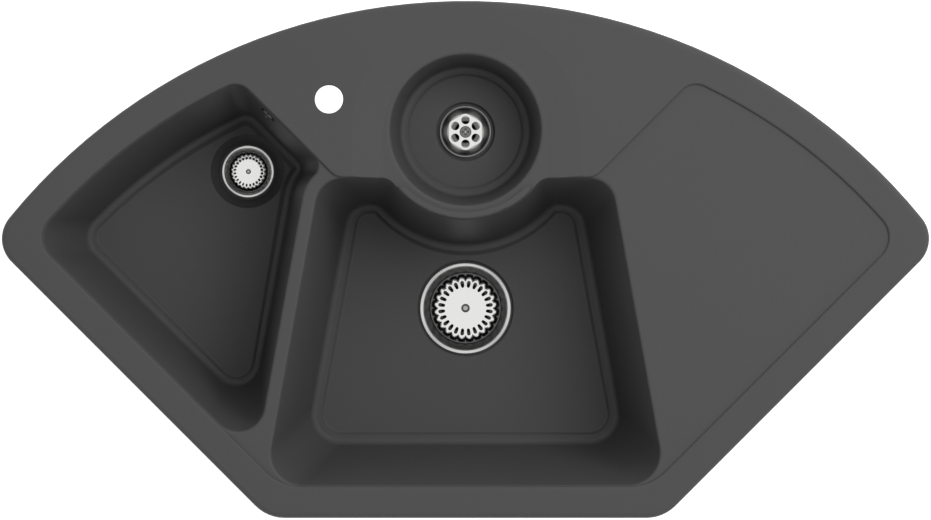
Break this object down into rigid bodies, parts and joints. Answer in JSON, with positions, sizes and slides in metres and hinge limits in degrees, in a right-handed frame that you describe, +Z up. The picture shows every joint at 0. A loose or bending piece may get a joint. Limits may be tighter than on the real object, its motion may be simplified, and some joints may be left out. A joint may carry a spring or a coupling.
{
  "type": "corner kitchen sink",
  "caption": "Corner kitchen sink in dark composite with a large bowl, a side bowl, a round bowl, a drainboard, a tap hole, basket strainers and joined waste pipes",
  "frame": {"origin": "on the worktop plane, at the middle of the front rim's seat", "axes": "+X to the right along the front edge, +Y to the back corner, +Z up out of the bowls"},
  "size_m": [1.076, 0.5999, 0.4114],
  "materials": {
    "graphite": "matt",
    "steel": "polished",
    "seal_rubber": "matt",
    "pipe_plastic": "smooth",
    "nut_plastic": "smooth"
  },
  "bodies": {
    "root": {"sink_body": "graphite", "rim_seal": "seal_rubber", "main_upper_gasket": "seal_rubber", "left_upper_gasket": "seal_rubber", "round_upper_gasket": "seal_rubber", "main_lower_gasket": "seal_rubber", "left_lower_gasket": "seal_rubber", "round_lower_gasket": "seal_rubber", "main_waste_body": "pipe_plastic", "left_waste_body": "pipe_plastic", "round_waste_body": "pipe_plastic", "main_flange": "steel", "left_flange": "steel", "round_flange": "steel", "main_clamp_screw": "steel", "left_clamp_screw": "steel", "round_sieve_plate": "steel", "round_screw": "steel", "left_pipe": "pipe_plastic", "round_pipe": "pipe_plastic", "manifold": "pipe_plastic", "main_tail_seal": "seal_rubber", "left_tail_seal": "seal_rubber", "round_tail_seal": "seal_rubber", "left_branch_seal": "seal_rubber", "round_branch_seal": "seal_rubber", "main_tail_nut": "nut_plastic", "left_tail_nut": "nut_plastic", "round_tail_nut": "nut_plastic", "left_branch_nut": "nut_plastic", "round_branch_nut": "nut_plastic", "overflow_cap": "steel", "overflow_screw": "steel", "overflow_gasket": "seal_rubber", "overflow_elbow": "pipe_plastic", "overflow_pipe": "pipe_plastic", "overflow_seal": "seal_rubber", "overflow_nut": "nut_plastic"},
    "main_basket": {"main_basket": "steel", "main_basket_pin": "steel", "main_plug": "seal_rubber"},
    "left_basket": {"left_basket": "steel", "left_basket_pin": "steel", "left_plug": "seal_rubber"}
  },
  "joints": [
    {"name": "main_basket_lift", "type": "slide", "parent": "root", "child": "main_basket", "axis": [0, 0, 1], "range_m": [0, 0.25]},
    {"name": "left_basket_lift", "type": "slide", "parent": "root", "child": "left_basket", "axis": [0, 0, 1], "range_m": [0, 0.22]}
  ]
}
